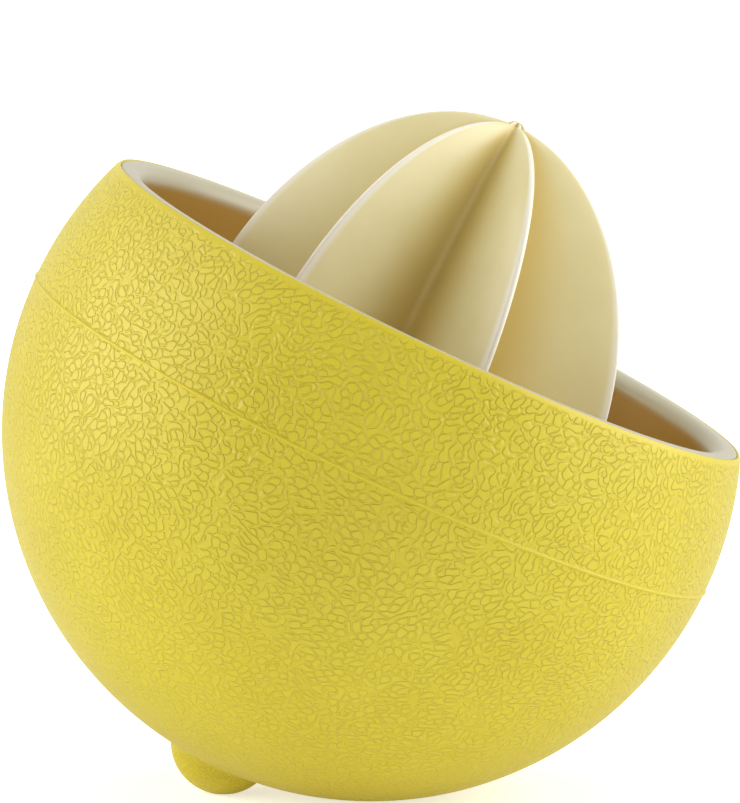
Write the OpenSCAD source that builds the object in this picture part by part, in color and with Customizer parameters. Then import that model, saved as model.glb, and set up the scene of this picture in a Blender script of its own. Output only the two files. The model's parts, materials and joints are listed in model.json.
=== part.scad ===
// Citrus juicer: a ball-shaped bowl in a soft rubber skin, with a lift-out strainer and a fluted reamer.
// Sizes are in millimetres. Every piece is drawn about the bowl's own axis, with the ball's centre at the
// origin, and is then leaned over to stand on the belly of the ball and on the nub at its pole.

/* [Ball] */
// Radius of the ball that the outside of the skin follows
ball_r = 57.5; // [54:0.1:62]
// Height of the rim plane above the centre of the ball, along the axis
rim_z = 21.35; // [18:0.05:25]
// Width of the skin's edge that shows outside the cream rim
skin_lip = 0.6; // [0.4:0.1:1.2]
// Thickness of the skin under the bottom of the bowl
skin_floor = 4.5; // [3:0.1:7]
// Radius of the fine moulding line round the equator
ridge_r = 0.3; // [0.2:0.05:0.6]

/* [Standing] */
// Radius of the nub at the pole
nub_r = 8.3; // [7:0.1:10]
// How far the nub stands out from the ball
nub_proud = 5; // [4:0.1:7]
// Depth of the flat that the belly stands on
belly_flat = 0.5; // [0.3:0.05:0.8]
// Depth of the flat that the nub stands on
nub_flat = 0.3; // [0.2:0.05:0.6]

/* [Bowl] */
// Wall thickness of the bowl
bowl_wall = 2.5; // [1.8:0.1:3.2]
// Width of the flat rim that shows round the mouth
rim_band = 4.1; // [3.5:0.1:6]
// Thickness of the rim where it laps over the skin
rim_t = 2.5; // [1.5:0.1:4]
// Radius of the rounded inner lip of the rim
lip_r = 2.4; // [1:0.1:3]
// Depth of the strainer's seat below the rim
seat_depth = 16; // [13:0.5:20]
// Width of the ledge that the strainer sits on
seat_w = 1.6; // [1.2:0.1:2.4]
// Number of notches in the ledge that stop the strainer turning
seat_keys = 3; // [2:1:4]
// Width of each lug under the strainer's edge
lug_w = 8; // [5:0.5:12]
// Height of each lug under the strainer's edge
lug_h = 3; // [2:0.1:4]
// How far each lug reaches into the well
lug_reach = 1.2; // [0.8:0.1:1.4]
// Width of the ledge left outside each notch
notch_land = 0.4; // [0.3:0.05:0.6]

/* [Strainer] */
// Thickness of the strainer's plate
tray_t = 2; // [1.6:0.1:3]
// Height of the upright edge round the plate
edge_h = 3; // [2:0.1:5]
// Thickness of the upright edge
edge_t = 1.4; // [1:0.1:2]
// Number of drain slots
slot_n = 48; // [24:1:56]
// Width of a drain slot
slot_w = 1.8; // [1.2:0.1:2.4]
// Plain strip left between the ends of the slots and what lies next to them
slot_gap = 1.5; // [1:0.1:2.5]
// Height of the socket's collar under the plate
collar_h = 6; // [4:0.5:9]
// Thickness of the socket's collar
collar_t = 2.4; // [2:0.1:4]

/* [Reamer] */
// Radius of the fin crests at the reamer's foot
reamer_r = 33.4; // [31:0.1:36]
// Height from the strainer's plate to the reamer's tip
reamer_h = 45.3; // [40:0.1:52]
// Exponent of the crest's curve: 2 is an ellipse, and less is more pointed
crest_curve = 1.9; // [1.4:0.05:2]
// Radius of the valleys between the fins at the foot
valley_r = 12.5; // [11:0.1:16]
// Exponent of the flutes' outline: more makes the fins thinner and the valleys flatter
flute_curve = 1.9; // [1.5:0.05:2.4]
// Width of the fins' crest edge
crest_w = 0.9; // [0.6:0.1:1.6]
// Radius of the reamer at its blunt tip
tip_r = 1.2; // [0.8:0.1:2]
// Turn of the fins about the axis, from the side that the bowl leans to, in degrees
fin_turn = -12; // [-30:1:30]
// Wall thickness of the hollow reamer
reamer_wall = 2.4; // [1.8:0.1:3]
// Share of the fins' reach that the hollow follows
hollow_share = 0.45; // [0.2:0.05:0.5]
// Thickness of the round foot
foot_t = 1.6; // [1.2:0.1:2.5]
// Width of the round foot outside the fin crests
foot_edge = 1.2; // [0.8:0.1:2]
// Depth of the skirt that plugs into the strainer's socket
skirt_h = 7; // [5:0.5:10]
// Wall thickness of the skirt
skirt_t = 2.2; // [1.6:0.1:3]
// Gap between the hollow of the reamer and the inside of the skirt
skirt_land = 1; // [0.6:0.1:2]
// Number of ribs on the skirt that stop the reamer turning
skirt_keys = 3; // [2:1:4]
// Width of each rib on the skirt
rib_w = 4; // [3:0.1:6]
// How far each rib stands out from the skirt
rib_out = 1.3; // [0.8:0.1:1.5]

/* [Fits] */
// Clearance round the pieces that lift out
fit = 0.35; // [0.3:0.05:0.5]

/* [Hidden] */
$fn = 96;

// Overshoot of cuts and overlap of joined shapes
over = 1;
// Larger than any piece
far = 4 * ball_r;
skin_yellow = [0.87, 0.79, 0.22];
rim_cream = [0.85, 0.83, 0.74];
insert_cream = [0.90, 0.87, 0.77];

// Standing pose: the belly flat and the nub flat both lie on the ground
nub_d = ball_r + nub_proud - nub_r;
stand_h = ball_r - belly_flat;
lean = acos((stand_h - nub_r + nub_flat) / nub_d);

// Bowl, from the mouth down
rim_edge_r = sqrt(ball_r * ball_r - rim_z * rim_z);
flange_r = rim_edge_r - skin_lip;
mouth_r = flange_r - rim_band;
upper_r = mouth_r + bowl_wall;
seat_z = rim_z - seat_depth;
notch_z = seat_z - lug_h - fit;
step_z = notch_z - bowl_wall;
well_r = mouth_r - seat_w;
dome_r = well_r + bowl_wall;
dome_z = dome_r + skin_floor - ball_r;

// Notches in the ledge leave a thin wall outside, and the lugs reach a little into the well
notch_out = mouth_r - notch_land;
lug_in = well_r - lug_reach;

// Strainer
tray_r = mouth_r - fit;
tray_z = seat_z + tray_t;
foot_r = reamer_r + foot_edge;
slot_in = foot_r + slot_gap + slot_w / 2;
slot_out = min(well_r, tray_r - edge_t) - slot_gap - slot_w / 2;

// Reamer: fins and flutes repeat round the axis
fin_n = 6;
half_pitch = 180 / fin_n;
flute_steps = 12;
fin_layers = 20;
hollow_steps = 8;
hollow_layers = 8;
// Smallest radius of the hollow, at its closed end under the tip
hollow_tip = 2;

// The crest line, by an angle that runs from 0 inside the foot to 90 at a sharp tip
fin_low = foot_t / 2;
function crest_r(a) = reamer_r * cos(a);
function crest_y(a) = fin_low + (reamer_h - fin_low) * pow(sin(a), 2 / crest_curve);
tip_a = acos(tip_r / reamer_r);
hollow_a = acos((reamer_wall + hollow_tip) / valley_r);

// Each flute falls from one crest's edge to the valley and rises to the next crest's edge, while share runs
// from -1 to 1
function valley(r) = valley_r * r / reamer_r;
function crest_half(r) = min(asin(min(crest_w / (2 * r), 0.5)), half_pitch / 3);
function flute(low, high, share) = low + (high - low) * pow(abs(share), flute_curve);

// One level of the fluted outside, and one level of the hollow inside it, a wall thickness away
function polar(r, t, y) = [r * cos(t), r * sin(t), y];
function fin_ring(r, y) = [
    for (k = [0:fin_n - 1], j = [0:flute_steps])
        let (share = 2 * j / flute_steps - 1, t = share * (half_pitch - crest_half(r)))
            polar(flute(valley(r), r, share), t + half_pitch * (2 * k + 1), y)
];
function hollow_ring(r, y) = [
    for (k = [0:fin_n - 1], j = [0:hollow_steps - 1])
        let (
            share = 2 * j / hollow_steps - 1,
            low = valley(r) - reamer_wall,
            high = low + hollow_share * (r - valley(r))
        )
            polar(flute(low, high, share), half_pitch * (share + 2 * k + 1), y)
];
hollow_wide = max([for (p = hollow_ring(reamer_r, 0)) norm(p)]);

// Socket and skirt, from the hollow outwards
skirt_in = hollow_wide + skirt_land;
skirt_out = skirt_in + skirt_t;
socket_r = skirt_out + fit;
collar_r = socket_r + collar_t;

// Leans a piece from its own axis to the standing pose
module stand() {
    translate([0, 0, stand_h])
        rotate([0, lean, 0])
            children();
}

// Repeats a shape round the axis
module ring_of(count, first = 0) {
    for (k = [0:count - 1])
        rotate([0, 0, first + 360 * k / count])
            children();
}

// Solid through a list of rings with the same number of points, from the lowest to the highest
module loft(rings) {
    n = len(rings[0]);
    last = len(rings) - 1;
    sides = [
        for (i = [0:last - 1], j = [0:n - 1])
            let (a = i * n + j, b = i * n + (j + 1) % n)
                each [[a, a + n, b + n], [a, b + n, b]]
    ];
    bottom = [for (j = [0:n - 1]) j];
    top = [for (j = [n - 1:-1:0]) last * n + j];
    polyhedron(points = [for (ring = rings) each ring], faces = concat([bottom], sides, [top]));
}

// Everything below the rim plane, as half of a section
module under_rim() {
    translate([0, -far])
        square([far, far + rim_z]);
}

module ball_body() {
    rotate_extrude()
        intersection() {
            circle(r = ball_r);
            under_rim();
        }
}

// The outside of the bowl as a solid, which the skin fits round
module bowl_outside() {
    rotate_extrude()
        intersection() {
            union() {
                translate([0, dome_z])
                    circle(r = dome_r);
                translate([0, dome_z])
                    square([dome_r, rim_z - dome_z]);
                translate([0, step_z])
                    square([upper_r, rim_z - step_z]);
                translate([0, rim_z - rim_t])
                    square([flange_r, rim_t]);
            }
            under_rim();
        }
}

// The hollow of the bowl: a round-bottomed well below the ledge, and the wider mouth above it
module bowl_hollow() {
    rotate_extrude()
        intersection() {
            union() {
                translate([0, dome_z])
                    circle(r = well_r);
                translate([0, dome_z])
                    square([well_r, rim_z + over - dome_z]);
                translate([0, seat_z])
                    square([mouth_r, rim_z + over - seat_z]);
            }
            translate([0, -far])
                square([far, far + rim_z + over]);
        }
}

// Cuts the inner corner of the rim to a round lip
module lip_cut() {
    rotate_extrude()
        translate([mouth_r, rim_z - lip_r])
            difference() {
                translate([-over, 0])
                    square([lip_r + over, lip_r + over]);
                translate([lip_r, 0])
                    circle(r = lip_r);
            }
}

// A block that stands on the +X side of the axis, between two distances from it
module key_block(inner, outer, width, low, high) {
    translate([inner, -width / 2, low])
        cube([outer - inner, width, high - low]);
}

module drain_slot() {
    translate([0, 0, seat_z - over]) {
        translate([slot_in, -slot_w / 2, 0])
            cube([slot_out - slot_in, slot_w, tray_t + 2 * over]);
        for (end = [slot_in, slot_out])
            translate([end, 0, 0])
                cylinder(d = slot_w, h = tray_t + 2 * over);
    }
}

// Soft skin: the ball up to the rim plane, with the nub and the moulding line, filled up to the bowl
module peel_skin() {
    color(skin_yellow)
        difference() {
            stand()
                difference() {
                    union() {
                        ball_body();
                        rotate_extrude()
                            translate([ball_r, 0])
                                circle(r = ridge_r);
                        translate([0, 0, -nub_d])
                            sphere(r = nub_r);
                    }
                    bowl_outside();
                }
            translate([-far / 2, -far / 2, -far])
                cube(far);
        }
}

// Rigid bowl: flat rim, straight mouth, ledge with notches, and a round-bottomed well
module bowl_shell() {
    color(rim_cream)
        stand()
            difference() {
                bowl_outside();
                bowl_hollow();
                lip_cut();
                ring_of(seat_keys, 90)
                    key_block(lug_in - over, notch_out, lug_w + 2 * fit, notch_z, seat_z + over);
            }
}

// Strainer: slotted plate with an upright edge, lugs that drop into the ledge, and a socket for the reamer
module strainer_tray() {
    color(insert_cream)
        stand()
            difference() {
                union() {
                    rotate_extrude() {
                        translate([socket_r, seat_z])
                            square([tray_r - socket_r, tray_t]);
                        translate([tray_r - edge_t, seat_z])
                            square([edge_t, tray_t + edge_h]);
                        translate([socket_r, seat_z - collar_h])
                            square([collar_t, collar_h + tray_t]);
                    }
                    ring_of(seat_keys, 90)
                        key_block(lug_in, notch_out - fit, lug_w, seat_z - lug_h, seat_z + tray_t / 2);
                }
                ring_of(skirt_keys)
                    key_block(socket_r - over, skirt_out + rib_out + fit, rib_w + 2 * fit,
                        seat_z - collar_h - over, tray_z + over);
                ring_of(slot_n)
                    drain_slot();
            }
}

// Reamer: hollow fluted cone on a round foot, with a keyed skirt below
module reamer_cone() {
    fin_angles = [for (i = [0:fin_layers]) tip_a * i / fin_layers];
    hollow_angles = [for (i = [0:hollow_layers]) hollow_a * i / hollow_layers];
    hollow_start = hollow_ring(reamer_r, -over);
    color(insert_cream)
        stand()
            translate([0, 0, tray_z])
                difference() {
                    union() {
                        rotate([0, 0, fin_turn])
                            loft([for (a = fin_angles) fin_ring(crest_r(a), crest_y(a))]);
                        rotate_extrude() {
                            square([foot_r, foot_t]);
                            translate([skirt_in, -skirt_h])
                                square([skirt_t, skirt_h + fin_low]);
                        }
                        ring_of(skirt_keys)
                            key_block(skirt_out - skirt_t / 2, skirt_out + rib_out, rib_w,
                                fit - skirt_h, fin_low);
                    }
                    rotate([0, 0, fin_turn])
                        loft([hollow_start, for (a = hollow_angles) hollow_ring(crest_r(a), crest_y(a))]);
                }
}

peel_skin();
bowl_shell();
strainer_tray();
reamer_cone();
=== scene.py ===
import json
from math import acos, asin, atan2, cos, hypot, pi, radians, sin, sqrt

import bmesh
import bpy
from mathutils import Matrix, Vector


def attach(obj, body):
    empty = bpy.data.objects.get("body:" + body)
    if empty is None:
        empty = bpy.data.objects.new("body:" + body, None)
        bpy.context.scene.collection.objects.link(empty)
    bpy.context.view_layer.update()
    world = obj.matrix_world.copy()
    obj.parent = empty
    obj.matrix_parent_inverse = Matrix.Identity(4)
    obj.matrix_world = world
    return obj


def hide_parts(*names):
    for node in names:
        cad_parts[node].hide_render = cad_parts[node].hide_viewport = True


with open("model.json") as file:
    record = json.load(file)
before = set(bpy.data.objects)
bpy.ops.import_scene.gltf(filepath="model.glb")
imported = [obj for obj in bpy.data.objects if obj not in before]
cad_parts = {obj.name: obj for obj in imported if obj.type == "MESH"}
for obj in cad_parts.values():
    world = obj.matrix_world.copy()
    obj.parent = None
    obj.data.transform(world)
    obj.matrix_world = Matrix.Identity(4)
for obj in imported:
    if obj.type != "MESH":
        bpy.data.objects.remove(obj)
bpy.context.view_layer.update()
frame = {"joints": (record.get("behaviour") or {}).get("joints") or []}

scene = bpy.context.scene
scene.view_settings.view_transform = "Standard"
mm = 0.001  # sizes below are millimetres, the scene is in metres
sharpAngle = 35  # degrees: an edge that turns more than this stays sharp

# The bowl's own axis, as its lifting joint gives it
lift = next(j for j in frame["joints"] if j["name"] == "strainer_lift")
leanAxis = Vector(lift["axis"]).normalized()
sideAxis = Vector((0, 1, 0))
frontAxis = sideAxis.cross(leanAxis)  # the side that the bowl leans to, square to its axis

# Sizes that more than one piece takes up; heights run along the axis from the centre of the ball
ball = {"radius": 57.5, "bellyFlat": 0.5, "rimZ": 21.35}
ballCentre = Vector((0, 0, (ball["radius"] - ball["bellyFlat"]) * mm))
bowl = {
    "skinLip": 0.6, "rimBand": 4.1, "rimThick": 2.5, "lipRound": 2.4, "edgeRound": 0.3,
    "wall": 2.5, "skinFloor": 4.5, "seatDepth": 16.0, "seatWidth": 1.6, "trayThick": 2.0,
    "keys": 3, "keyTurn": 90.0, "lugWidth": 8.0, "lugHeight": 3.0, "lugReach": 1.2, "notchLand": 0.4,
    "fit": 0.35, "columns": 360, "domeSteps": 40, "lipSteps": 12, "edgeSteps": 4,
    "lipBand": 0.2, "wallRing": 8.0, "notchBand": 0.02, "notchPair": 0.0004, "wellBand": 0.5,
}
rimZ = ball["rimZ"]
rimEdge = sqrt(ball["radius"] ** 2 - rimZ ** 2)
flangeRadius = rimEdge - bowl["skinLip"]
mouthRadius = flangeRadius - bowl["rimBand"]
upperRadius = mouthRadius + bowl["wall"]
wellRadius = mouthRadius - bowl["seatWidth"]
domeRadius = wellRadius + bowl["wall"]
domeZ = domeRadius + bowl["skinFloor"] - ball["radius"]
seatZ = rimZ - bowl["seatDepth"]
trayZ = seatZ + bowl["trayThick"]
notchZ = seatZ - bowl["lugHeight"] - bowl["fit"]
stepZ = notchZ - bowl["wall"]
notchOut = mouthRadius - bowl["notchLand"]
print("frame loaded")


# Mesh helpers

def onAxis(radius, turn, height):
    # a point given round the bowl's axis, in millimetres and radians
    place = leanAxis * height + frontAxis * (radius * cos(turn)) + sideAxis * (radius * sin(turn))
    return ballCentre + place * mm


def arc(centreR, centreZ, radius, start, end, steps):
    # points of an arc, angles in radians from the outward direction
    spread = [start + (end - start) * i / steps for i in range(steps + 1)]
    return [(centreR + radius * cos(a), centreZ + radius * sin(a)) for a in spread]


def evenTurns(columns):
    return [2 * pi * i / columns for i in range(columns)]


def linkObject(name, data):
    made = bpy.data.objects.new(name, data)
    scene.collection.objects.link(made)
    return made


def smoothMesh(mesh, keepSharp):
    mesh.shade_smooth()
    mesh.set_sharp_from_angle(angle=radians(keepSharp))


def builtObject(name, build):
    # an object from a mesh that was being built, with its faces turned outwards
    bmesh.ops.recalc_face_normals(build, faces=build.faces[:])
    mesh = bpy.data.meshes.new(name)
    build.to_mesh(mesh)
    build.free()
    return linkObject(name, mesh)


def ringsMesh(name, rings, keepSharp=sharpAngle, closed=False):
    # a skin over rings of points: a ring of one point is a pole, and closed joins the last to the first
    build = bmesh.new()
    rows = [[build.verts.new(p) for p in ring] for ring in rings]
    following = rows[1:] + rows[:1] if closed else rows[1:]
    for lower, upper in zip(rows, following):
        count = max(len(lower), len(upper))
        for j in range(count):
            k = (j + 1) % count
            corners = []
            for row, i in ((lower, j), (lower, k), (upper, k), (upper, j)):
                v = row[i % len(row)]
                if v not in corners:
                    corners.append(v)
            build.faces.new(corners)
    piece = builtObject(name, build)
    smoothMesh(piece.data, keepSharp)
    return piece


def lathe(name, section, turns, keepSharp=sharpAngle, change=None):
    # turns a section round the axis; change(point, turn) may move a point of the section at some turns
    rings = []
    for point in section:
        if point[0] == 0:
            rings.append([onAxis(0, 0, point[1])])
            continue
        placed = [change(point, t) if change else point for t in turns]
        rings.append([onAxis(p[0], t, p[1]) for p, t in zip(placed, turns)])
    return ringsMesh(name, rings, keepSharp)


def addBlock(build, inner, outer, width, low, high, turn):
    # a key block that stands beside the axis, added to a mesh that is being built
    corners = []
    for height in (low, high):
        for out, side in ((inner, -1), (outer, -1), (outer, 1), (inner, 1)):
            across = side * width / 2
            point = onAxis(hypot(out, across), turn + atan2(across, out), height)
            corners.append(build.verts.new(point))
    for face in ((0, 1, 2, 3), (4, 5, 6, 7), (0, 1, 5, 4), (1, 2, 6, 5), (2, 3, 7, 6), (3, 0, 4, 7)):
        build.faces.new([corners[i] for i in face])


def cutWith(piece, tool, operation):
    step = piece.modifiers.new(operation.lower(), "BOOLEAN")
    step.operation = operation
    step.object = tool
    step.solver = "EXACT"


def applyModifiers(piece, keepSharp=sharpAngle):
    graph = bpy.context.evaluated_depsgraph_get()
    mesh = bpy.data.meshes.new_from_object(piece.evaluated_get(graph))
    piece.modifiers.clear()
    piece.data = mesh
    smoothMesh(mesh, keepSharp)


# Shader helpers

def feed(tree, node, values):
    # inputs by name or number: an output is linked, and a number, vector or colour is set
    for key, value in values.items():
        socket = node.inputs[key]
        if isinstance(value, bpy.types.NodeSocket):
            tree.links.new(value, socket)
        elif socket.type == "RGBA":
            socket.default_value = (*value, 1.0)
        else:
            socket.default_value = value


def addNode(tree, kind, inputs=None, **settings):
    node = tree.nodes.new(kind)
    for key, value in settings.items():
        setattr(node, key, value)
    feed(tree, node, inputs or {})
    return node


def mathNode(tree, operation, *values, clamp=False):
    inputs = dict(enumerate(values))
    return addNode(tree, "ShaderNodeMath", inputs, operation=operation, use_clamp=clamp).outputs[0]


def vectorNode(tree, operation, *values):
    node = addNode(tree, "ShaderNodeVectorMath", dict(enumerate(values)), operation=operation)
    return node.outputs["Value" if operation in ("DOT_PRODUCT", "LENGTH") else "Vector"]


def noiseNode(tree, place, scale, detail=0.0):
    return addNode(tree, "ShaderNodeTexNoise", {"Vector": place, "Scale": scale, "Detail": detail})


def bumpNode(tree, height, strength, distance):
    inputs = {"Height": height, "Strength": strength, "Distance": distance * mm}
    return addNode(tree, "ShaderNodeBump", inputs).outputs["Normal"]


def toothedRoughness(tree, tooth, roughness, spread):
    return mathNode(tree, "MULTIPLY_ADD", tooth, spread, roughness - spread / 2)


def smoothRange(tree, value, low, high, outLow=0.0, outHigh=1.0):
    inputs = {"Value": value, "From Min": low, "From Max": high, "To Min": outLow, "To Max": outHigh}
    node = addNode(tree, "ShaderNodeMapRange", inputs, interpolation_type="SMOOTHSTEP")
    return node.outputs["Result"]


def belowRim(tree, height, fade):
    # 1 well below the rim and 0 near it, between two depths
    deep, shallow = fade
    return smoothRange(tree, height, rimZ - deep, rimZ - shallow, 1.0, 0.0)


def mixColour(tree, factor, first, second):
    inputs = {0: factor, 6: first, 7: second}  # the node's colour sockets
    return addNode(tree, "ShaderNodeMix", inputs, data_type="RGBA").outputs[2]


def mixVector(tree, factor, first, second):
    inputs = {0: factor, 4: first, 5: second}  # the node's vector sockets
    return addNode(tree, "ShaderNodeMix", inputs, data_type="VECTOR").outputs[1]


def newGroup(name, inputs, outputs):
    tree = bpy.data.node_groups.new(name, "ShaderNodeTree")
    for label, kind in inputs:
        tree.interface.new_socket(label, in_out="INPUT", socket_type=kind)
    for label, kind in outputs:
        tree.interface.new_socket(label, in_out="OUTPUT", socket_type=kind)
    return tree, addNode(tree, "NodeGroupInput").outputs, addNode(tree, "NodeGroupOutput")


def placeGroup(tree, group, inputs):
    return addNode(tree, "ShaderNodeGroup", inputs, node_tree=group).outputs


def objectPlace(tree):
    return addNode(tree, "ShaderNodeTexCoord").outputs["Object"]


def newMaterial(name):
    material = bpy.data.materials.new(name)
    material.use_nodes = True
    return material, material.node_tree, material.node_tree.nodes["Principled BSDF"]


def srgb(r, g, b):
    # a colour as it shows on screen, 0 to 255, turned to the linear values that the shader takes
    shares = [c / 255 for c in (r, g, b)]
    return tuple(c / 12.92 if c <= 0.04045 else ((c + 0.055) / 1.055) ** 2.4 for c in shares)


# Shared effect: the soft cloudiness and fine tooth of a moulded surface

moulding = {"cloudDetail": 3.0, "toothDetail": 2.0, "cloudRange": (0.3, 0.7)}


def makeMouldedTooth():
    tree, given, made = newGroup(
        "mouldedTooth",
        [
            ("Vector", "NodeSocketVector"),
            ("Cloud Scale", "NodeSocketFloat"),
            ("Tooth Scale", "NodeSocketFloat"),
        ],
        [("Cloud", "NodeSocketFloat"), ("Tooth", "NodeSocketFloat")],
    )
    place = given["Vector"]
    cloud = noiseNode(tree, place, given["Cloud Scale"], moulding["cloudDetail"]).outputs["Fac"]
    tooth = noiseNode(tree, place, given["Tooth Scale"], moulding["toothDetail"]).outputs["Fac"]
    feed(tree, made, {"Cloud": smoothRange(tree, cloud, *moulding["cloudRange"]), "Tooth": tooth})
    return tree


# Shared effect: how far a point lies along the bowl's axis and out from it, in millimetres

def makeAxisHeight():
    tree, given, made = newGroup(
        "axisHeight",
        [("Vector", "NodeSocketVector")],
        [("Height", "NodeSocketFloat"), ("Radius", "NodeSocketFloat")],
    )
    fromCentre = vectorNode(tree, "SUBTRACT", given["Vector"], ballCentre)
    height = vectorNode(tree, "DOT_PRODUCT", fromCentre, leanAxis / mm)
    across = vectorNode(tree, "CROSS_PRODUCT", fromCentre, leanAxis / mm)
    feed(tree, made, {"Height": height, "Radius": vectorNode(tree, "LENGTH", across)})
    return tree


mouldedTooth = makeMouldedTooth()
axisHeight = makeAxisHeight()


# Yellow skin: ball, rounded lip, moulding line and nub as one rubber moulding

skin = {
    "nubRadius": 8.3, "nubProud": 5.0, "nubFillet": 1.0, "lipRound": 0.35, "lipReach": 1.6, "gap": 0.03,
    "ridge": 0.2, "ridgeShares": (2.2, 1.5, 1.1, 0.9, 0.6, 0.3),
    "keepSharp": 50, "columns": 400, "step": 0.75,
    "domeSteps": 24, "lipSteps": 5, "upperSteps": 26, "nubSteps": 26,
    # deepColour is painted shade, the darker yellow that the grain's grooves are tinted towards
    "colour": srgb(202, 184, 28), "paleColour": srgb(207, 190, 37), "deepColour": srgb(177, 153, 12),
    "cloudScale": 45.0, "toothScale": 2600.0, "roughness": 0.43, "roughSpread": 0.12,
    "sheen": 0.08, "sheenRoughness": 0.25,
    # the grain: how many waves cross the ball, their pitch, and the steps that set them apart
    "waves": 18, "pitch": 2.45, "spread": 0.35, "pitchStep": 0.618, "turnStep": 2.4,
    "phaseStep": 1.7, "sumPhase": 2.1, "sumStep": 1.3,
    "bend": 0.6, "bendSize": 4.5, "stir": 8.0, "stirSize": 1.3, "nubFiner": 1.7, "nubStart": 1.0,
    # how deep it is, how much painted shade darkens its grooves and where it fades
    "grooveLevel": 0.2, "topLevel": 0.95, "grainDepth": 0.165, "grooveShade": 0.12,
    "lowGrain": 0.6, "fullGrain": -5.0, "lipFade": (1.2, 0.5), "lineFade": (0.2, 0.5),
}
nubDrop = ball["radius"] + skin["nubProud"] - skin["nubRadius"]  # from the ball's centre to the nub's


def skinSection():
    radius = ball["radius"]
    gap = skin["gap"]
    flangeZ = rimZ - bowl["rimThick"] - gap
    inside = arc(0, domeZ, domeRadius + gap, -pi / 2, 0, skin["domeSteps"])
    inside[0] = (0, inside[0][1])
    inside += [(domeRadius + gap, stepZ - gap), (upperRadius + gap, stepZ - gap)]
    inside += [(upperRadius + gap, flangeZ), (flangeRadius + gap, flangeZ)]
    lip = skin["lipRound"]
    edge = arc(flangeRadius + gap + lip, rimZ - lip, lip, pi, pi / 2, skin["lipSteps"])

    # down the ball from the lip, over the moulding line, to the nub
    top = acos((rimZ - lip * skin["lipReach"]) / radius)
    upper = [top + (pi / 2 - top) * i / skin["upperSteps"] for i in range(skin["upperSteps"])]
    outside = [(radius * sin(a), radius * cos(a)) for a in upper]
    ridge = skin["ridge"]
    above = [ridge * share for share in skin["ridgeShares"]]
    for z in above + [0.0] + [-z for z in reversed(above)]:
        bead = sqrt(max(ridge ** 2 - z ** 2, 0))
        outside.append((sqrt(radius ** 2 - z ** 2) + bead, z))
    joinZ = (skin["nubRadius"] ** 2 - nubDrop ** 2 - radius ** 2) / (2 * nubDrop)
    joinR = sqrt(radius ** 2 - joinZ ** 2)
    lowest = pi - asin(joinR / radius) - skin["nubFillet"] / radius
    steps = int(radius * (lowest - pi / 2) / skin["step"])
    lower = [pi / 2 + (lowest - pi / 2) * (i + 1) / steps for i in range(steps)]
    outside += [(radius * sin(a), radius * cos(a)) for a in lower]

    nubTop = atan2(joinZ + nubDrop, joinR) - skin["nubFillet"] / skin["nubRadius"]
    nub = arc(0, -nubDrop, skin["nubRadius"], nubTop, -pi / 2, skin["nubSteps"])
    nub[-1] = (0, nub[-1][1])
    start = outside[-1]
    for t in (0.25, 0.5, 0.75):  # a curve fills the corner between the ball and the nub
        a, b, c = (1 - t) ** 2, 2 * t * (1 - t), t ** 2
        outside.append(tuple(a * p + b * q + c * r for p, q, r in zip(start, (joinR, joinZ), nub[0])))
    return inside + edge + outside + nub


def makeSkin():
    piece = lathe("peelSkin", skinSection(), evenTurns(skin["columns"]), skin["keepSharp"])
    for v in piece.data.vertices:  # the flats that it stands on
        v.co.z = max(v.co.z, 0.0)
    return piece


def peelWaves(tree, place, height):
    # three sums of waves cross the ball: a pebble is where one leads, a groove where two are equal
    onNub = mathNode(tree, "LESS_THAN", height, skin["nubStart"] - ball["radius"])
    centre = mixVector(tree, onNub, ballCentre, ballCentre - leanAxis * (nubDrop * mm))
    outward = vectorNode(tree, "NORMALIZE", vectorNode(tree, "SUBTRACT", place, centre))
    bend = noiseNode(tree, place, 1 / (skin["bendSize"] * mm)).outputs["Color"]
    bendShare = (skin["bend"] / ball["radius"],) * 3
    sway = vectorNode(tree, "MULTIPLY_ADD", bend, bendShare, outward)
    size = smoothRange(tree, onNub, 0.0, 1.0, ball["radius"], skin["nubRadius"] * skin["nubFiner"])
    total = (0, 0, 0)
    for k in range(skin["waves"]):
        tall = 1 - (k + 0.5) / skin["waves"]
        flat = sqrt(1 - tall ** 2)
        turn = skin["turnStep"] * k
        across = vectorNode(tree, "DOT_PRODUCT", sway, (flat * cos(turn), flat * sin(turn), tall))
        along = mathNode(tree, "MULTIPLY", mathNode(tree, "ARCSINE", across), size)
        pitch = skin["pitch"] * (1 + skin["spread"] * ((k * skin["pitchStep"]) % 1 - 0.5))
        apart = skin["sumPhase"] + skin["sumStep"] * k
        starts = [skin["phaseStep"] * k * k + j * apart for j in range(3)]
        phase = vectorNode(tree, "MULTIPLY_ADD", along, (2 * pi / pitch,) * 3, starts)
        total = vectorNode(tree, "ADD", total, vectorNode(tree, "SINE", phase))
    stir = noiseNode(tree, place, 1 / (skin["stirSize"] * mm)).outputs["Color"]
    stirred = vectorNode(tree, "MULTIPLY_ADD", stir, (skin["stir"],) * 3, total)
    x, y, z = addNode(tree, "ShaderNodeSeparateXYZ", {0: stirred}).outputs
    most = mathNode(tree, "MAXIMUM", mathNode(tree, "MAXIMUM", x, y), z)
    least = mathNode(tree, "MINIMUM", mathNode(tree, "MINIMUM", x, y), z)
    whole = mathNode(tree, "ADD", mathNode(tree, "ADD", x, y), z)
    ends = mathNode(tree, "ADD", most, mathNode(tree, "ADD", most, least))
    lead = mathNode(tree, "SUBTRACT", ends, whole)  # of the largest sum over the second
    return mathNode(tree, "MULTIPLY", lead, sqrt(2 / skin["waves"]))


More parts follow.
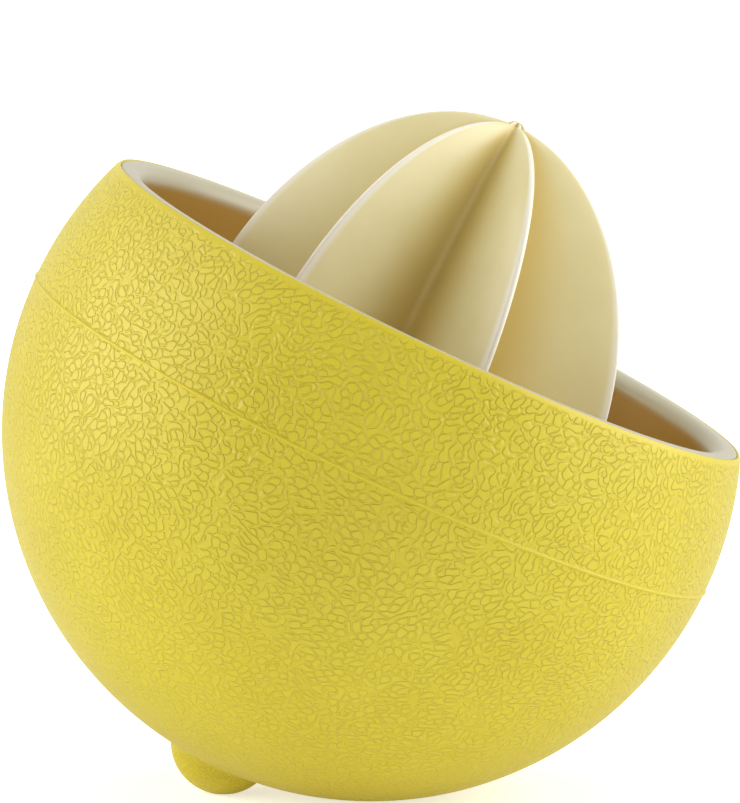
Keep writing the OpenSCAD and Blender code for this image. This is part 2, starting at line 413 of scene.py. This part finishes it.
def skinMaterial():
    material, tree, shader = newMaterial("yellowRubber")
    place = objectPlace(tree)
    height = placeGroup(tree, axisHeight, {"Vector": place})["Height"]
    moulded = placeGroup(tree, mouldedTooth, {
        "Vector": place, "Cloud Scale": skin["cloudScale"], "Tooth Scale": skin["toothScale"]})
    pebble = smoothRange(tree, peelWaves(tree, place, height), skin["grooveLevel"], skin["topLevel"])
    # the grain dies out at the lip and beside the moulding line, and is shallower low on the ball
    lipFade = belowRim(tree, height, skin["lipFade"])
    lineFade = smoothRange(tree, mathNode(tree, "ABSOLUTE", height), *skin["lineFade"])
    lowFade = smoothRange(tree, height, -ball["radius"], skin["fullGrain"], skin["lowGrain"], 1.0)
    grainMask = mathNode(tree, "MULTIPLY", mathNode(tree, "MULTIPLY", lipFade, lineFade), lowFade)
    relief = mathNode(tree, "MAXIMUM", pebble, mathNode(tree, "SUBTRACT", 1.0, grainMask))
    # painted shade: the grain's grooves are darkened towards the deep colour
    groove = mathNode(tree, "MULTIPLY", mathNode(tree, "SUBTRACT", 1.0, relief), skin["grooveShade"])
    tint = mixColour(tree, moulded["Cloud"], skin["colour"], skin["paleColour"])
    feed(tree, shader, {
        "Base Color": mixColour(tree, groove, tint, skin["deepColour"]),
        "Roughness": toothedRoughness(tree, moulded["Tooth"], skin["roughness"], skin["roughSpread"]),
        "Normal": bumpNode(tree, relief, 1.0, skin["grainDepth"]),
        "Sheen Weight": skin["sheen"],
        "Sheen Roughness": skin["sheenRoughness"],
    })
    return material


peelSkin = makeSkin()
peelSkin.data.materials.append(skinMaterial())
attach(peelSkin, "bowl")
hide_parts("peel_skin")
print("skin made")


# Cream bowl: flat rim with a round inner lip, ledge with notches, and a deep round well

bowlLook = {
    # a greyer, darker cream than the reamer and strainer: partly the bowl's own tone, partly painted shade
    # on the rim
    "colour": srgb(178, 171, 145), "cloudColour": srgb(174, 167, 140),
    "cloudScale": 60.0, "roughness": 0.38,
    # painted shade: a brown band on the inner wall just below the lip, fading to a paler warm colour deep
    # in the well
    "lipShadeColour": srgb(160, 120, 43), "deepColour": srgb(186, 160, 98),
    "lipShadeFade": (3.2, 1.2), "deepFade": (26.0, 7.0),
}


def bowlTurns():
    # even columns, with a close pair at each side of each notch
    half = asin((bowl["lugWidth"] / 2 + bowl["fit"]) / notchOut)
    turns = evenTurns(bowl["columns"])
    for k in range(bowl["keys"]):
        middle = (radians(bowl["keyTurn"]) + 2 * pi * k / bowl["keys"]) % (2 * pi)
        for side in (-1, 1):
            turns += [middle + side * (half + step) for step in (-bowl["notchPair"], bowl["notchPair"])]
    return sorted(t % (2 * pi) for t in turns), half


def makeBowl():
    turns, half = bowlTurns()
    lip, edge = bowl["lipRound"], bowl["edgeRound"]
    flangeZ = rimZ - bowl["rimThick"]
    section = arc(0, domeZ, domeRadius, -pi / 2, 0, bowl["domeSteps"])
    section += [(domeRadius, stepZ), (upperRadius, stepZ), (upperRadius, flangeZ), (flangeRadius, flangeZ)]
    section += arc(flangeRadius - edge, rimZ - edge, edge, 0, pi / 2, bowl["edgeSteps"])
    section += [(mouthRadius + lip + bowl["lipBand"], rimZ)]
    section += arc(mouthRadius + lip, rimZ - lip, lip, pi / 2, pi, bowl["lipSteps"])
    section += [(mouthRadius, seatZ + bowl["wallRing"]), (mouthRadius, seatZ)]
    section += [(notchOut + bowl["notchBand"], seatZ)]
    section += [(notchOut, seatZ, "notch"), (wellRadius, seatZ, "notch")]
    section += [(wellRadius, notchZ - bowl["wellBand"])]
    section += arc(0, domeZ, wellRadius, 0, -pi / 2, bowl["domeSteps"])
    for end in (0, -1):
        section[end] = (0, section[end][1])

    def dropNotch(point, turn):
        if len(point) < 3:
            return point
        pitch = 2 * pi / bowl["keys"]
        away = (turn - radians(bowl["keyTurn"]) + pitch / 2) % pitch - pitch / 2
        return (point[0], notchZ if abs(away) < half else point[1])

    return lathe("bowlShell", section, turns, change=dropNotch)


# The cream plastic of the bowl, the reamer and the strainer

cream = {"toothScale": 1800.0, "roughSpread": 0.16, "bump": 0.12, "bumpDepth": 0.05, "specular": 0.45}


def creamMaterial(name, look):
    material, tree, shader = newMaterial(name)
    place = objectPlace(tree)
    moulded = placeGroup(tree, mouldedTooth, {
        "Vector": place, "Cloud Scale": look["cloudScale"], "Tooth Scale": cream["toothScale"]})
    tint = mixColour(tree, moulded["Cloud"], look["colour"], look["cloudColour"])
    feed(tree, shader, {
        "Base Color": tint,
        "Roughness": toothedRoughness(tree, moulded["Tooth"], look["roughness"], cream["roughSpread"]),
        "Normal": bumpNode(tree, moulded["Tooth"], cream["bump"], cream["bumpDepth"]),
        "Specular IOR Level": cream["specular"],
    })
    return material, tree, shader, place, tint


def bowlMaterial():
    material, tree, shader, place, tint = creamMaterial("creamBowl", bowlLook)
    # painted shade: the inner wall turns brown just below the lip; deeper down it fades to a paler warm
    # colour where the thin wall lets the yellow skin warm it
    height = placeGroup(tree, axisHeight, {"Vector": place})["Height"]
    below = belowRim(tree, height, bowlLook["lipShadeFade"])
    deep = belowRim(tree, height, bowlLook["deepFade"])
    wall = mixColour(tree, deep, bowlLook["lipShadeColour"], bowlLook["deepColour"])
    feed(tree, shader, {"Base Color": mixColour(tree, below, tint, wall)})
    return material


bowlShell = makeBowl()
bowlShell.data.materials.append(bowlMaterial())
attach(bowlShell, "bowl")
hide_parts("bowl_shell")
print("bowl made")


# Reamer: six sharp fins with round flutes between, on a thin round foot with a keyed skirt

reamer = {
    "radius": 33.4, "height": 45.3, "curve": 1.9, "valley": 12.5, "fluteCurve": 1.9,
    "fins": 6, "turn": -12.0,
    "crestWidth": 0.9, "crestDrop": 0.35, "tipDrop": 0.2,
    "tip": 1.6, "tipRise": 0.45, "tipRings": ((0.3, 0.42), (0.6, 0.33), (0.85, 0.17)),
    "wall": 2.4, "hollowShare": 0.45, "hollowTip": 2.0,
    "foot": 1.6, "footEdge": 1.2, "footRound": 0.4, "footLand": 0.5, "footRings": (0.33, 0.66),
    "rootRound": 0.9, "skirt": 7.0, "skirtThick": 2.2, "skirtLand": 1.0, "skirtChamfer": 0.3,
    "ribs": 3, "ribWidth": 4.0, "ribOut": 1.3, "keepSharp": 60,
    "fluteSteps": 32, "crestSteps": 5, "layers": 84, "hollowLayers": 20, "rootSteps": 5, "footSteps": 4,
    "colour": srgb(224, 213, 163), "cloudColour": srgb(219, 207, 154),
    "cloudScale": 85.0, "roughness": 0.36,
    # painted shade darkens the valleys between the fins, and a painted highlight lightens the fin crests
    "valleyShadeColour": srgb(210, 188, 114), "crestHighlightColour": srgb(233, 227, 208),
    "valleyShadeRange": (0.36, 0.72), "crestHighlightRange": (0.95, 0.99),  # shares of the way out to the crest line
}
footRadius = reamer["radius"] + reamer["footEdge"]
halfPitch = pi / reamer["fins"]
finLow = reamer["foot"] / 2


def crestAt(angle):
    # radius and height of the fin crests, by an angle from the foot to the tip
    rise = sin(angle) ** (2 / reamer["curve"])
    return reamer["radius"] * cos(angle), finLow + (reamer["height"] - finLow) * rise


def valleyAt(crest):
    return reamer["valley"] * crest / reamer["radius"]


def finColumns(crest):
    # place and turn of each column: places -1 to 1 cross a flute, and 1 to 2 the crest that follows it
    half = min(asin(min(reamer["crestWidth"] / 2 / crest, 0.5)), halfPitch / 3)
    flute = [2 * j / reamer["fluteSteps"] - 1 for j in range(reamer["fluteSteps"] + 1)]
    top = [1 + (j + 1) / (reamer["crestSteps"] + 1) for j in range(reamer["crestSteps"])]
    columns = [(place, (halfPitch - half) * place) for place in flute]
    columns += [(place, halfPitch + half * (2 * place - 3)) for place in top]
    middles = [halfPitch * (2 * k + 1) for k in range(reamer["fins"])]
    return [(place, turn, middle) for middle in middles for place, turn in columns]


def finOutline(crest):
    valley = valleyAt(crest)
    drop = min(reamer["crestDrop"] * reamer["crestWidth"], reamer["tipDrop"] * crest)  # rounds the crest
    outline = []
    for place, turn, middle in finColumns(crest):
        if place <= 1:
            out = valley + (crest - drop - valley) * abs(place) ** reamer["fluteCurve"]
        else:
            out = crest - drop * (1 - sqrt(1 - (2 * place - 3) ** 2))
        outline.append((out, turn + middle))
    return outline


def hollowOutline(crest):
    valley = valleyAt(crest)
    outline = []
    for place, turn, middle in finColumns(crest):
        share = abs(turn if turn <= halfPitch else turn - 2 * halfPitch) / halfPitch
        reach = reamer["hollowShare"] * (crest - valley) * share ** reamer["fluteCurve"]
        outline.append((valley - reamer["wall"] + reach, turn + middle))
    return outline


def makeReamer():
    spin = radians(reamer["turn"])
    footTop, root, skirt = reamer["foot"], reamer["rootRound"], reamer["skirt"]
    rings = []

    def addPole(height):
        rings.append([onAxis(0, 0, trayZ + height)])

    def addRing(outline, height):
        rings.append([onAxis(r, t + spin, trayZ + height) for r, t in outline])

    # the fins, from the tip down to the foot
    tipAngle = acos(reamer["tip"] / reamer["radius"])
    crests = [crestAt(tipAngle * i / reamer["layers"]) for i in range(reamer["layers"] + 1)]
    topCrest, topHeight = crests[-1]
    addPole(topHeight + reamer["tipRise"] * topCrest)
    topOutline = finOutline(topCrest)
    for share, rise in reamer["tipRings"]:  # the tip rounds over
        addRing([(r * share, t) for r, t in topOutline], topHeight + rise * topCrest)
    for crest, height in reversed(crests):
        if height > footTop + root:
            addRing(finOutline(crest), height)

    # a small round where the fins meet the foot, and the foot's top and edge
    rootRise = (footTop + root - finLow) / (reamer["height"] - finLow)
    base = finOutline(crestAt(asin(rootRise ** (reamer["curve"] / 2)))[0])
    footLimit = footRadius - reamer["footLand"]
    for k in range(reamer["rootSteps"] + 1):
        a = pi / 2 * k / reamer["rootSteps"]
        grown = [(min(r + root * (1 - cos(a)), footLimit), t) for r, t in base]
        addRing(grown, footTop + root * (1 - sin(a)))
    spread = [(min(r + root, footLimit), t) for r, t in base]
    edge = reamer["footRound"]
    rim = footRadius - edge
    for share in reamer["footRings"]:
        addRing([(r + (rim - r) * share, t) for r, t in spread], footTop)
    turns = [t for r, t in base]

    def addRound(radius, height):
        addRing([(radius, t) for t in turns], height)

    for r, z in arc(rim, footTop - edge, edge, pi / 2, 0, reamer["footSteps"]):
        addRound(r, z)
    addRound(footRadius, 0.0)

    # the skirt with its ribs, and the hollow inside the fins
    hollowBase = hollowOutline(reamer["radius"])
    skirtIn = max(r for r, t in hollowBase) + reamer["skirtLand"]
    skirtOut = skirtIn + reamer["skirtThick"]
    pitch = 2 * pi / reamer["ribs"]
    ribbed = []
    for t in turns:
        away = abs((t + spin + pitch / 2) % pitch - pitch / 2) * skirtOut
        ribbed.append((skirtOut + (reamer["ribOut"] if away < reamer["ribWidth"] / 2 else 0), t))
    addRing(ribbed, 0.0)
    addRing(ribbed, bowl["fit"] - skirt)
    addRound(skirtOut, bowl["fit"] - skirt)
    addRound(skirtOut - reamer["skirtChamfer"], -skirt)
    addRound(skirtIn, -skirt)
    addRound(skirtIn, 0.0)
    addRing(hollowBase, 0.0)
    hollowTop = acos((reamer["wall"] + reamer["hollowTip"]) / reamer["valley"])
    for i in range(reamer["hollowLayers"] + 1):
        crest, height = crestAt(hollowTop * i / reamer["hollowLayers"])
        addRing(hollowOutline(crest), height)
    addPole(height)
    return ringsMesh("reamerCone", rings, reamer["keepSharp"]), skirtOut


def reamerMaterial():
    material, tree, shader, place, tint = creamMaterial("creamReamer", reamer)
    # how far out a point lies between the axis and the crest line at its height
    along = placeGroup(tree, axisHeight, {"Vector": place})
    up = mathNode(tree, "SUBTRACT", along["Height"], trayZ + finLow)
    rise = mathNode(tree, "DIVIDE", up, reamer["height"] - finLow, clamp=True)
    narrow = mathNode(tree, "SUBTRACT", 1.001, mathNode(tree, "POWER", rise, reamer["curve"]))  # never 0
    crest = mathNode(tree, "MULTIPLY", mathNode(tree, "SQRT", narrow), reamer["radius"])
    share = mathNode(tree, "DIVIDE", along["Radius"], crest)
    # painted shade: the valleys between the fins are darkened, near the axis
    valley = smoothRange(tree, share, *reamer["valleyShadeRange"], 1.0, 0.0)
    # painted highlight: the fin crests are lightened, near the crest line
    edge = smoothRange(tree, share, *reamer["crestHighlightRange"])
    tint = mixColour(tree, valley, tint, reamer["valleyShadeColour"])
    feed(tree, shader, {"Base Color": mixColour(tree, edge, tint, reamer["crestHighlightColour"])})
    return material


reamerCone, skirtOut = makeReamer()
reamerCone.data.materials.append(reamerMaterial())
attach(reamerCone, "reamer")
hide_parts("reamer_cone")
print("reamer made")


# Strainer: slotted plate with an upright edge, lugs for the notches and a collar for the skirt

tray = {
    "edgeHeight": 3.0, "edgeThick": 1.4, "slots": 48, "slotWidth": 1.8, "slotGap": 1.5, "slotSteps": 8,
    "collar": 6.0, "collarThick": 2.4, "columns": 288, "cutPast": 1.0,
    "bevel": 0.22, "bevelSteps": 2, "bevelAngle": 50,
    "colour": srgb(231, 224, 202), "cloudColour": srgb(222, 212, 182),
    "cloudScale": 60.0, "roughness": 0.38,
}


def makeStrainer():
    fit, past = bowl["fit"], tray["cutPast"]
    outer = mouthRadius - fit
    edgeIn = outer - tray["edgeThick"]
    socket = skirtOut + fit
    collar = socket + tray["collarThick"]
    top = trayZ + tray["edgeHeight"]
    bottom = seatZ - tray["collar"]
    section = [
        (socket, bottom), (socket, trayZ), (edgeIn, trayZ), (edgeIn, top),
        (outer, top), (outer, seatZ), (collar, seatZ), (collar, bottom),
    ]
    turns = evenTurns(tray["columns"])
    rings = [[onAxis(r, t, z) for t in turns] for r, z in section]
    piece = ringsMesh("strainerTray", rings, closed=True)

    lugs = bmesh.new()
    cuts = bmesh.new()
    for k in range(bowl["keys"]):
        turn = radians(bowl["keyTurn"]) + 2 * pi * k / bowl["keys"]
        addBlock(lugs, wellRadius - bowl["lugReach"], notchOut - fit, bowl["lugWidth"],
                 seatZ - bowl["lugHeight"], seatZ + bowl["trayThick"] / 2, turn)
    for k in range(reamer["ribs"]):
        addBlock(cuts, socket - past, skirtOut + reamer["ribOut"] + fit, reamer["ribWidth"] + 2 * fit,
                 bottom - past, trayZ + past, 2 * pi * k / reamer["ribs"])
    half = tray["slotWidth"] / 2
    slotIn = footRadius + tray["slotGap"] + half
    slotOut = min(wellRadius, edgeIn) - tray["slotGap"] - half
    outline = arc(slotIn, 0, half, pi / 2, 3 * pi / 2, tray["slotSteps"])
    outline += arc(slotOut, 0, half, -pi / 2, pi / 2, tray["slotSteps"])
    for k in range(tray["slots"]):
        turn = 2 * pi * k / tray["slots"]
        low, high = [
            [cuts.verts.new(onAxis(hypot(x, y), turn + atan2(y, x), z)) for x, y in outline]
            for z in (seatZ - past, trayZ + past)
        ]
        cuts.faces.new(low)
        cuts.faces.new(high)
        for j in range(len(outline)):
            i = (j + 1) % len(outline)
            cuts.faces.new((low[j], low[i], high[i], high[j]))
    lugTool, cutTool = builtObject("lugTool", lugs), builtObject("cutTool", cuts)
    cutWith(piece, lugTool, "UNION")
    cutWith(piece, cutTool, "DIFFERENCE")
    soften = piece.modifiers.new("soften", "BEVEL")
    soften.width = tray["bevel"] * mm
    soften.segments = tray["bevelSteps"]
    soften.limit_method = "ANGLE"
    soften.angle_limit = radians(tray["bevelAngle"])
    applyModifiers(piece)
    for tool in (lugTool, cutTool):
        bpy.data.objects.remove(tool)
    return piece


strainerTray = makeStrainer()
strainerTray.data.materials.append(creamMaterial("creamStrainer", tray)[0])
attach(strainerTray, "strainer")
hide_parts("strainer_tray")
print("strainer made")


# Studio: pale floor, white surroundings, and soft boxes at both sides and above

studio = {
    "floorSize": 6.0, "floorColour": (0.82, 0.82, 0.82), "floorRoughness": 0.8, "floorSpecular": 0.1,
    "ambient": 0.42, "bounce": 0.42, "nearGlow": 0.55, "glowFrom": 0.05, "glowTo": 0.35,
    "white": (1, 1, 1), "boxSize": 1.0,
    "boxes": [
        {"name": "leftBox", "place": (-0.95, -0.08, 0.40), "power": 9.4},
        {"name": "rightBox", "place": (0.95, -0.05, 0.40), "power": 10.2},
        {"name": "topBox", "place": (0.15, 0.25, 1.20), "power": 4.0},
    ],
}


def makeFloor():
    half = studio["floorSize"] / 2
    mesh = bpy.data.meshes.new("floor")
    corners = [(-half, -half, 0), (half, -half, 0), (half, half, 0), (-half, half, 0)]
    mesh.from_pydata(corners, [], [(0, 1, 2, 3)])
    floor = linkObject("floor", mesh)
    material, tree, shader = newMaterial("paleFloor")
    # white to the camera, while the floor near the object keeps its shadow
    path = addNode(tree, "ShaderNodeLightPath").outputs
    away = vectorNode(tree, "LENGTH", objectPlace(tree))
    glow = smoothRange(tree, away, studio["glowFrom"], studio["glowTo"], studio["nearGlow"], 1.0)
    shown = mathNode(tree, "MULTIPLY", glow, path["Is Camera Ray"])
    fill = mathNode(tree, "MULTIPLY", path["Is Diffuse Ray"], studio["bounce"])
    feed(tree, shader, {
        "Base Color": studio["floorColour"],
        "Roughness": studio["floorRoughness"],
        "Specular IOR Level": studio["floorSpecular"],
        "Emission Color": studio["white"],
        "Emission Strength": mathNode(tree, "MAXIMUM", shown, fill),
    })
    floor.data.materials.append(material)


def makeSurroundings():
    scene.world = bpy.data.worlds.new("studioWorld")
    scene.world.use_nodes = True
    tree = scene.world.node_tree
    path = addNode(tree, "ShaderNodeLightPath").outputs
    mirrored = mathNode(tree, "MAXIMUM", path["Is Glossy Ray"], path["Is Transmission Ray"])
    seen = mathNode(tree, "MAXIMUM", path["Is Camera Ray"], mirrored)
    strength = mathNode(tree, "MAXIMUM", seen, studio["ambient"])
    feed(tree, tree.nodes["Background"], {"Color": studio["white"], "Strength": strength})


def makeBoxes():
    for box in studio["boxes"]:
        lamp = bpy.data.lights.new(box["name"], "AREA")
        lamp.shape = "SQUARE"
        lamp.size = studio["boxSize"]
        lamp.energy = box["power"]
        holder = linkObject(box["name"], lamp)
        holder.location = box["place"]
        aim = ballCentre - Vector(box["place"])
        holder.rotation_euler = aim.to_track_quat("-Z", "Y").to_euler()
        holder.visible_camera = False


makeFloor()
makeSurroundings()
makeBoxes()
print("studio made")


# Camera: long lens, a little above the horizon, as the photograph was taken

view = {
    "frame": (740, 803), "distance": 1000.0, "elevation": 7.25, "focalPixels": 6424.0,
    "ballAt": (371.6, 431.3),  # where the centre of the ball lies in the frame
    "sensor": 36.0, "clip": (0.05, 50),
}


def makeCamera():
    width, tall = view["frame"]
    rise = radians(view["elevation"])
    back = Vector((0, -cos(rise), sin(rise)))
    right = Vector((1, 0, 0))
    up = right.cross(-back)
    perPixel = view["distance"] / view["focalPixels"] * mm
    across = (view["ballAt"][0] - width / 2) * perPixel
    down = (view["ballAt"][1] - tall / 2) * perPixel
    lens = bpy.data.cameras.new("camera")
    lens.sensor_width = view["sensor"]
    lens.lens = view["focalPixels"] / max(width, tall) * view["sensor"]
    lens.clip_start, lens.clip_end = view["clip"]
    camera = linkObject("camera", lens)
    camera.location = ballCentre + back * view["distance"] * mm - right * across + up * down
    camera.rotation_mode = "QUATERNION"
    camera.rotation_quaternion = (-back).to_track_quat("-Z", "Y")
    scene.camera = camera


makeCamera()
print("camera made")
